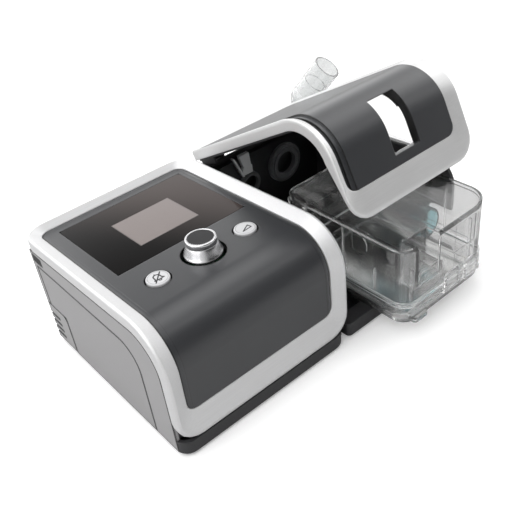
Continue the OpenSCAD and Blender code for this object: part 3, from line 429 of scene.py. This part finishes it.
def plate_metal():
    """Rolled light metal: long streaks along the chamber's underside."""
    f = Finish("rolled_plate", (0.88, 0.88, 0.87), 0.2, 0.85)
    lines = f.noise(1.0, 0.6, (900, 30, 900))
    _, tone = f.drift(0.05)
    f.set("Base Color", tone)
    f.set("Roughness", lines * 0.06 + 0.12)
    f.bump(lines, 0.04, 0.0003)
    return f.m


def circuit():
    """Green board: paler traces, a dull mask and drilled dots."""
    f = Finish("circuit_board", (0.015, 0.11, 0.05), 0.35)
    lanes = f.noise(1.0, 0.5, (160, 160, 1), 1.0)
    trace = ((lanes * 14).fract() - 0.5).abs().smooth(0.05, 0.12, 1.0, 0.0)
    dots = f.cells(260).smooth(0.12, 0.18, 1.0, 0.0)
    slow, tone = f.drift(0.1)
    tone = f.mix(trace * 0.7, tone, (0.05, 0.24, 0.11))
    f.set("Base Color", f.mix(dots, tone, (0.55, 0.45, 0.2)))
    f.set("Metallic", dots * 0.8)
    f.set("Roughness", slow * 0.1 + 0.3)
    f.bump(trace, 0.2, 0.0001)
    return f.m


# Finishes

# The grey sides get painted shadow along their seams and bent edges
LEFT_SIDE = dict(grain=1300, depth=0.12, vary=0.03, edge=0.0014, seam=0.95)
FINISHES = {
    "silver": brushed("satin_silver", (0.70, 0.70, 0.705), 0.45, 0.5),
    "lid_silver": brushed("satin_silver_lid", (0.75, 0.75, 0.75), 0.36, 0.6),
    "grey_shell": grained("grey_shell", (0.31, 0.305, 0.31), 0.48, **LEFT_SIDE),
    "grey_cover": grained("grey_cover", (0.295, 0.29, 0.295), 0.48, **LEFT_SIDE),
    "dark_shell": grained("dark_shell", (0.026, 0.026, 0.028), 0.46, 1300, 0.12, 0.05,
                          edge=0.0008),
    "inner_black": grained("inner_black", (0.009, 0.009, 0.01), 0.42, 1200, 0.1),
    "pale_plastic": grained("pale_plastic", (0.62, 0.63, 0.63), 0.4, 1200, vary=0.03,
                            spread=0.05, edge=0.0004),
    "silicone": grained("silicone", (0.11, 0.112, 0.115), 0.36, vary=0.1, edge=0.0005),
    "clear_silicone": grained("clear_silicone", (0.66, 0.69, 0.69), 0.35),
    "foot_rubber": grained("foot_rubber", (0.02, 0.02, 0.02), 0.7, depth=0.15),
    "steel": grained("steel", (0.55, 0.55, 0.56), 0.3, depth=0.04, metallic=1.0),
    "foam": grained("foam", (0.05, 0.05, 0.055), 0.9, 500, 0.6),
    "filter": grained("filter_foam", (0.02, 0.02, 0.022), 0.9, 500, 0.5),
    "motor": grained("motor_can", (0.25, 0.25, 0.26), 0.35, metallic=0.9),
    "ink": grained("printed_ink", (0.012, 0.012, 0.014), 0.5),
    "chip": grained("chip_black", (0.02, 0.02, 0.022), 0.4),
    "clear": clear_plastic("clear_chamber", (1.0, 1.0, 1.0), alpha=0.8),
    "elbow": clear_plastic("clear_elbow", (0.92, 0.93, 0.93), 0.01, 1.5, 0.92, 0.94),
    "smoke_clear": clear_plastic("window_pane", (1.0, 1.0, 1.0), 0.0, 1.05, 0.08),
    "teal": tube_plastic(),
    "panel": panel_plastic("charcoal_panel", (0.030, 0.031, 0.034), True),
    "lid_skin": panel_plastic("charcoal_lid", (0.026, 0.027, 0.030)),
    "lens": lens_glass(),
    "lcd": screen(),
    "knob_silver": turned("polished_knob", (0.70, 0.70, 0.71), 0.25, 1.0, KNOB_AT, 0.004),
    "cap": turned("knob_cap", (0.012, 0.012, 0.013), 0.35, 0.0, KNOB_AT, 0.08, 0.6,
                  Specular_IOR_Level=0.25),
    "mute": button_face("mute_face", MUTE_AT),
    "ramp": button_face("ramp_face", RAMP_AT),
    "alu": plate_metal(),
    "board": circuit(),
}
# Nodes whose finish differs from that of the others in their slot
OWN = {"knob_cap": "cap", "mute_button": "mute", "ramp_button": "ramp", "outlet_elbow": "elbow",
       "lid_panel": "lid_skin", "lid_frame": "lid_silver"}
for name, obj in NODES.items():
    obj.data.materials.clear()
    obj.data.materials.append(FINISHES[OWN.get(name, SLOT[name])])


# Smoothed copies

def in_scene(name, data):
    """A new object round a mesh, a lamp or a camera."""
    o = bpy.data.objects.new(name, data)
    scene.collection.objects.link(o)
    return o


def mesh_of(name, bm):
    """Turns a bmesh into a mesh and frees it."""
    me = bpy.data.meshes.new(name)
    bm.to_mesh(me)
    bm.free()
    return me


def settle(obj):
    """Puts an object's modifiers into its mesh."""
    bpy.context.view_layer.update()
    shown = obj.evaluated_get(bpy.context.evaluated_depsgraph_get())
    done = bpy.data.meshes.new_from_object(shown)
    obj.modifiers.clear()
    obj.data = done


# How far in from the panel's side, and how far the face has sunk there
BORDER_STEPS = ((0.0, 0.70), (0.5, 0.50), (1.2, 0.26), (2.2, 0.08), (3.2, 0.0), (3.9, 0.0),
                (4.15, 0.14), (4.4, 0.14), (4.65, 0.0))


def rolled_border(bm):
    """Sinks the panel's outer face towards its two long sides, with a fine groove."""
    low = min(v.co.x for v in bm.verts)
    high = max(v.co.x for v in bm.verts)
    for inward, _ in BORDER_STEPS[1:]:
        for x in (low + inward * MM, high - inward * MM):
            bmesh.ops.bisect_plane(bm, geom=bm.verts[:] + bm.edges[:] + bm.faces[:],
                                   plane_co=(x, 0, 0), plane_no=(1, 0, 0), dist=1e-7)
    bm.normal_update()
    outward = {}
    for v in bm.verts:
        outer = [f.normal for f in v.link_faces
                 if abs(f.normal.x) < 0.5 and f.normal.z - f.normal.y > 0.9]
        if outer:
            outward[v] = sum(outer, Vector()).normalized()
    near = 1e-3
    for v, normal in outward.items():
        inward = min(v.co.x - low, high - v.co.x) / MM
        for (start, from_deep), (end, to_deep) in zip(BORDER_STEPS, BORDER_STEPS[1:]):
            if start - near <= inward <= end + near:
                part = (inward - start) / (end - start)
                v.co -= normal * (from_deep + (to_deep - from_deep) * part) * MM
                break


def refined(node, soft=0.0, shaped=None):
    """A merged copy of a node, smooth over its curves, eased by soft metres if asked."""
    sharp = math.radians(32.0)
    bm = bmesh.new()
    bm.from_mesh(NODES[node].data)
    bmesh.ops.remove_doubles(bm, verts=bm.verts, dist=2e-6)
    bmesh.ops.dissolve_limit(bm, angle_limit=math.radians(0.5), verts=bm.verts, edges=bm.edges)
    if shaped:
        shaped(bm)
    for f in bm.faces:
        f.smooth = True
    for e in bm.edges:
        e.smooth = len(e.link_faces) == 2 and e.calc_face_angle(math.pi) < sharp
    o = in_scene(node + "_surface", mesh_of(node + "_surface", bm))
    o.data.materials.append(NODES[node].data.materials[0])
    if soft:
        ease = o.modifiers.new("ease", "BEVEL")
        ease.width = soft
        ease.segments = 2
        ease.limit_method = "ANGLE"
        ease.angle_limit = sharp
        ease.use_clamp_overlap = True
    o.modifiers.new("normals", "WEIGHTED_NORMAL").keep_sharp = True
    settle(o)
    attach(o, BODY[node])
    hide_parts(node)


refined("top_panel", shaped=rolled_border)
for node in ("top_frame", "lid_frame", "lid_panel", "side_cover_left",
             "left_side_panel", "filter_cover", "main_base", "humidifier_base", "knob_cap",
             "port_ring", "inlet_seal", "outlet_duct", "outlet_elbow", "air_tube",
             "chamber_cover", "chamber_base"):
    refined(node)
for node, soft in (("mute_button", 0.7), ("ramp_button", 0.7), ("knob", 0.35)):
    refined(node, soft=soft * MM)


# Marks on the buttons

def piece(name, bm, body, finish):
    """A new piece from a bmesh, riding on a body."""
    o = in_scene(name, mesh_of(name, bm))
    o.data.materials.append(FINISHES[finish])
    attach(o, body)


LINE_WIDE, LINE_HIGH = 0.85, 0.05
LINE_END_STEPS = 6


def strokes(name, lines, place, body, closed=()):
    """Printed lines: each a thin strip with round ends, laid on a face."""
    bm = bmesh.new()
    for k, points in enumerate(lines):
        points = [Vector((*p, 0)) for p in points]
        if k in closed:
            points.append(points[0])
        for a, b in zip(points, points[1:]):
            along = (b - a).normalized()
            side = Vector((-along.y, along.x, 0))
            outline = []
            for end, out in ((b, 1), (a, -1)):
                for i in range(LINE_END_STEPS + 1):
                    t = -math.pi / 2 + math.pi * i / LINE_END_STEPS
                    outline.append(end + out * (along * math.cos(t) + side * math.sin(t))
                                   * LINE_WIDE / 2)
            low = [bm.verts.new(p) for p in outline]
            top = [bm.verts.new(p + Vector((0, 0, LINE_HIGH))) for p in outline]
            bm.faces.new(list(reversed(low)))
            bm.faces.new(top)
            n = len(outline)
            for i in range(n):
                bm.faces.new((low[i], low[(i + 1) % n], top[(i + 1) % n], top[i]))
    for v in bm.verts:
        v.co = v.co * MM
    bmesh.ops.remove_doubles(bm, verts=bm.verts, dist=1e-7)
    bmesh.ops.recalc_face_normals(bm, faces=bm.faces)
    bm.transform(place)
    piece(name, bm, body, "ink")


def arc(cx, cy, r, start, end, n):
    """Points along an arc, from one angle in degrees to another."""
    angles = [math.radians(start + (end - start) * i / n) for i in range(n + 1)]
    return [(cx + r * math.cos(a), cy + r * math.sin(a)) for a in angles]


RAISED = Matrix.Translation((0, 0, BUTTON_PROUD * MM))
MUTE_SCALE = 1.15
wedge = [(-3.9, -2.7), (4.0, -2.1), (3.4, 1.6)]
strokes("ramp_mark", [wedge], on_panel(*RAMP_AT) @ RAISED, BODY["ramp_button"], closed=(0,))
bell = [(-3.2, -2.1), (-2.2, -0.9)] + arc(0, 1.0, 2.1, 165, 15, 9) + [(2.2, -0.9), (3.2, -2.1)]
rim, clapper = [(-3.2, -2.1), (3.2, -2.1)], arc(0, -2.6, 0.9, 200, 340, 5)
slash, crown = [(-3.7, -4.0), (3.9, 3.8)], [(0, 3.2), (0, 3.9)]
strokes("mute_mark", [bell, rim, clapper, slash, crown],
        on_panel(*MUTE_AT) @ RAISED @ Matrix.Diagonal((MUTE_SCALE, MUTE_SCALE, 1, 1)),
        BODY["mute_button"])


# Inside the clear chamber

def moulded(name, low, high, body, ease):
    """A small clear block with eased edges, between two corners in millimetres."""
    bm = bmesh.new()
    bmesh.ops.create_cube(bm, size=1.0)
    size = Vector([b - a for a, b in zip(low, high)])
    mid = Vector([(a + b) / 2 for a, b in zip(low, high)])
    for v in bm.verts:
        v.co = Vector((v.co.x * size.x, v.co.y * size.y, v.co.z * size.z)) + mid
    bmesh.ops.bevel(bm, geom=bm.edges[:], offset=ease, segments=3, profile=0.6, affect="EDGES")
    for v in bm.verts:
        v.co = at(*v.co)
    for f in bm.faces:
        f.smooth = True
    bmesh.ops.recalc_face_normals(bm, faces=bm.faces)
    piece(name, bm, body, "clear")


# The chamber's sides, which the cover's flange stands out from all round
FLANGE = 1.5
_low, _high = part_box("chamber_cover")
LEFT, FRONT = ((_low.x - CORNER.x) / MM + FLANGE, (_low.y - CORNER.y) / MM + FLANGE)
RIGHT, BACK = ((_high.x - CORNER.x) / MM - FLANGE, (_high.y - CORNER.y) / MM - FLANGE)
SEAM_Z = 31                     # the cover's ribs start above the chamber's seam
for name, low, high, ease in (
        # Stiffening ribs inside the walls
        ("wall_rib_front", (LEFT + 2, FRONT + 30.4, SEAM_Z), (LEFT + 4.2, FRONT + 31.6, 51), 0.3),
        ("wall_rib_mid", (LEFT + 2, FRONT + 62, SEAM_Z), (LEFT + 3.8, FRONT + 63.2, 74), 0.3),
        ("wall_rib_back", (LEFT + 2, FRONT + 94, SEAM_Z), (LEFT + 3.8, FRONT + 95.2, 74), 0.3),
        ("front_rib_right", (RIGHT - 24, FRONT + 2, SEAM_Z), (RIGHT - 22.8, FRONT + 4.4, 70), 0.3),
        ("front_rib_left", (LEFT + 9, FRONT + 1.9, SEAM_Z), (LEFT + 10.2, FRONT + 4.4, 60), 0.3),
        ("right_rib", (RIGHT - 4.4, FRONT + 40, SEAM_Z), (RIGHT - 1.9, FRONT + 41.2, 70), 0.3),
        # Low walls that steer the water, and the box in the far left corner
        ("baffle_low", (LEFT + 42, FRONT + 20, 17), (RIGHT - 34, FRONT + 21.4, 27), 0.4),
        ("baffle_right", (RIGHT - 34, FRONT + 20, 17), (RIGHT - 32.6, FRONT + 62, 27), 0.4),
        ("corner_box", (LEFT + 2.2, BACK - 20, 66), (LEFT + 8, BACK - 2.2, 75.8), 0.6)):
    moulded(name, low, high, BODY["chamber_cover"], ease)
# Level ribs round the lower half
for k in range(4):
    z = 15.6 + 2.7 * k
    moulded(f"base_rib_left_{k}", (LEFT + 1.9, FRONT + 13, z), (LEFT + 2.9, BACK - 13, z + 0.9),
            BODY["chamber_base"], 0.25)
    moulded(f"base_rib_front_{k}", (LEFT + 13, FRONT + 1.9, z), (RIGHT - 22, FRONT + 2.9, z + 0.9),
            BODY["chamber_base"], 0.25)


# Repeated pieces

class Rule(Nodes):
    """A geometry tree with named inputs, turned into one plain mesh."""

    def __init__(self, name, **inputs):
        super().__init__(bpy.data.node_groups.new(name, "GeometryNodeTree"))
        face = self.tree.interface
        face.new_socket("Mesh", in_out="OUTPUT", socket_type="NodeSocketGeometry")
        self.ids, self.values = {}, inputs
        for key, value in inputs.items():
            kind = "NodeSocketInt" if isinstance(value, int) else "NodeSocketFloat"
            self.ids[key] = face.new_socket(key, in_out="INPUT", socket_type=kind).identifier
        start = self.tree.nodes.new("NodeGroupInput")
        self.ins = {key: Sock(self, start.outputs[key]) for key in inputs}

    def made(self, name, shape, finish, place, body):
        """Realizes the shape, gives it its finish and moves it to its place."""
        real = self.node("GeometryNodeRealizeInstances", Geometry=shape)
        done = self.node("GeometryNodeSetMaterial", Geometry=real, Material=FINISHES[finish])
        end = self.tree.nodes.new("NodeGroupOutput")
        self.put(end.inputs[0], done)
        o = in_scene(name, bpy.data.meshes.new(name + "_start"))
        rule = o.modifiers.new("rule", "NODES")
        rule.node_group = self.tree
        for key, ident in self.ids.items():
            rule[ident] = self.values[key]
        settle(o)
        o.data.transform(place)
        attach(o, body)
        return o


def coil_springs():
    """Wound springs under the heater plate, one at each corner."""
    outer_r, wire_r, end_room = 4.0 * MM, 0.42 * MM, 0.45 * MM
    low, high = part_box("heater_springs")
    rule = Rule("spring_rule", Height=high.z - low.z - 2 * end_room, Turns=4.5,
                Radius=outer_r - 0.5 * MM, Wire=wire_r,
                Across=high.x - low.x - 2 * outer_r, Along=high.y - low.y - 2 * outer_r)
    i = rule.ins
    coil = rule.node("GeometryNodeCurveSpiral", Resolution=20, Rotations=i["Turns"],
                     Height=i["Height"], **{"Start Radius": i["Radius"],
                                            "End Radius": i["Radius"]})
    wire = rule.node("GeometryNodeCurvePrimitiveCircle", Resolution=8, Radius=i["Wire"])
    one = rule.node("GeometryNodeCurveToMesh", Curve=coil,
                    **{"Profile Curve": wire, "Fill Caps": True})
    smooth = rule.node("GeometryNodeSetShadeSmooth", Geometry=one)
    corners = rule.node("GeometryNodeMeshGrid", **{"Size X": i["Across"], "Size Y": i["Along"],
                                                   "Vertices X": 2, "Vertices Y": 2})
    four = rule.node("GeometryNodeInstanceOnPoints", Points=corners, Instance=smooth)
    mid = (low + high) / 2
    o = rule.made("coil_springs", four, "steel",
                  Matrix.Translation((mid.x, mid.y, low.z + end_room)), BODY["heater_springs"])
    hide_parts("heater_springs")
    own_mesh(o)


def board_parts(name, place, body, wide, long, columns, rows, tallest, seed):
    """Chips and small parts standing on a board, scattered by a fixed seed."""
    rule = Rule(name + "_rule", Wide=wide * MM, Long=long * MM, Columns=columns, Rows=rows,
                Tallest=tallest * MM, Share=0.62, Seed=seed)
    i = rule.ins
    spots = rule.node("GeometryNodeMeshGrid",
                      **{"Size X": i["Wide"], "Size Y": i["Long"],
                         "Vertices X": i["Columns"], "Vertices Y": i["Rows"]})
    keep = rule.node("FunctionNodeRandomValue", {"data_type": "BOOLEAN"}, 3,
                     Probability=i["Share"], Seed=i["Seed"])
    size = rule.node("FunctionNodeRandomValue", {"data_type": "FLOAT_VECTOR"}, 0,
                     Seed=i["Seed"])
    smallest, largest = size.out.node.inputs[0], size.out.node.inputs[1]
    smallest.default_value = (0.35, 0.35, 0.4)
    largest.default_value = (1.0, 1.0, 1.0)
    chip = rule.node("GeometryNodeMeshCube", Size=(6.5 * MM, 5.0 * MM, 1.0))
    standing = rule.node("GeometryNodeTransform", Geometry=chip, Translation=(0, 0, 0.5))
    height = rule.node("ShaderNodeCombineXYZ", X=1.0, Y=1.0, Z=i["Tallest"])
    sized = rule.node("GeometryNodeTransform", Geometry=standing, Scale=height)
    many = rule.node("GeometryNodeInstanceOnPoints", Points=spots, Instance=sized,
                     Selection=keep, Scale=size)
    rule.made(name, many, "chip", place, body)


coil_springs()
BOARD_UNDER = 18.4              # the main board's top, below the panel's face
board_parts("main_board_parts", on_panel(72, 118) @ Matrix.Translation((0, 0, -BOARD_UNDER * MM)),
            BODY["main_board"], wide=92, long=56, columns=9, rows=7, tallest=2.6, seed=7)

# Floor

FLOOR_SIZE = 6.0
PALE, SEEN_IN_GLOSS = (0.9, 0.9, 0.9), (0.5, 0.5, 0.5)
floor_look = Finish("floor", PALE, 0.7)
floor_look.set("Emission Color", (1, 1, 1))
x, y, _ = floor_look.xyz()
far = away_from(x, y, (0, 0)).smooth(650.0, 1900.0)
seen = floor_look.ray("Camera").max(floor_look.ray("Transmission"))
floor_look.set("Emission Strength", seen * (far * 0.9 + 0.22))
floor_look.set("Base Color", floor_look.mix(floor_look.ray("Glossy"), PALE, SEEN_IN_GLOSS))
mesh = bpy.data.meshes.new("floor")
s = FLOOR_SIZE / 2
mesh.from_pydata([(-s, -s, 0), (s, -s, 0), (s, s, 0), (-s, s, 0)], [], [(0, 1, 2, 3)])
mesh.materials.append(floor_look.m)
o = in_scene("floor", mesh)
o.location.z = -0.0002

# Light

scene.world = bpy.data.worlds.new("studio")
scene.world.use_nodes = True
sky = Nodes(scene.world.node_tree)
background = sky.tree.nodes["Background"]
background.inputs["Color"].default_value = (1, 1, 1, 1)
aim = sky.node("ShaderNodeSeparateXYZ",
               Vector=sky.node("ShaderNodeTexCoord", None, "Generated")).out.node
dx, dy, dz = (Sock(sky, aim.outputs[i]) for i in range(3))
# Reflections see a room that darkens towards the front, a long softbox overhead, a strip
# lamp before it, pale walls to the left and behind, and a dark card for the display glass
CARD_AIM = (0.300, 0.705, 0.643)
off_card = (dx * CARD_AIM[0] + dy * CARD_AIM[1] + dz * CARD_AIM[2]).smooth(
    0.95, 0.995, 1.0, 0.1)
overhead = dy.hump(0.12, 0.52) * 1.4
strip = dy.hump(-0.42, 0.16) * 1.3
room = dy.smooth(-0.75, 0.1, 0.05, 0.75)
behind = dy.smooth(0.45, 0.8) * 1.2
left = dx.smooth(-0.7, -0.1, 1.0, 0.0) * 0.8
low_sky = dz.smooth(0.0, 0.12, 1.0, 0.0)
LOW_SKY, PLAIN = 0.6, 0.55      # strength near the horizon, and for all but glossy rays
mirror = (room + overhead + strip + behind) * off_card + left
mirror = mirror * (1 - low_sky) + low_sky * LOW_SKY
glossy = sky.ray("Glossy")
straight = sky.ray("Camera").max(sky.ray("Transmission"))
level = glossy * mirror + (1 - glossy) * PLAIN
sky.put(background.inputs["Strength"], straight + (1 - straight) * level)

for name, place, size, watts in (
        ("key", (-1.0, -0.2, 1.3), (1.2, 1.2), 12.5),
        ("fill", (1.2, -0.6, 1.0), (1.2, 1.0), 5),
        ("back", (0.1, 1.2, 1.5), (1.6, 0.8), 12),
        ("top", (0.0, 0.2, 1.7), (1.0, 1.0), 6)):
    lamp = bpy.data.lights.new(name, "AREA")
    lamp.shape = "RECTANGLE"
    lamp.size, lamp.size_y = size
    lamp.energy = watts
    o = in_scene(name, lamp)
    o.location = place
    o.rotation_euler = (-Vector(place)).to_track_quat("-Z", "Y").to_euler()
    o.visible_glossy = False

# Camera

PHOTO_WIDE, FOCAL = 522, 720.743        # both in pixels of the photograph's frame
SENSOR = 36.0
lens = bpy.data.cameras.new("camera")
lens.sensor_width = SENSOR
lens.lens = FOCAL / PHOTO_WIDE * SENSOR
lens.clip_start = 0.01
camera = in_scene("camera", lens)
right = Vector((0.75044, -0.65322, -0.10074))
down = Vector((-0.45504, -0.40008, -0.79553))
ahead = Vector((0.47935, 0.64284, -0.59748))
turn = Matrix((right, -down, -ahead)).transposed()
camera.matrix_world = Matrix.Translation(at(-131.89, -287.01, 384.72)) @ turn.to_4x4()
scene.camera = camera

scene.view_settings.view_transform = "Standard"
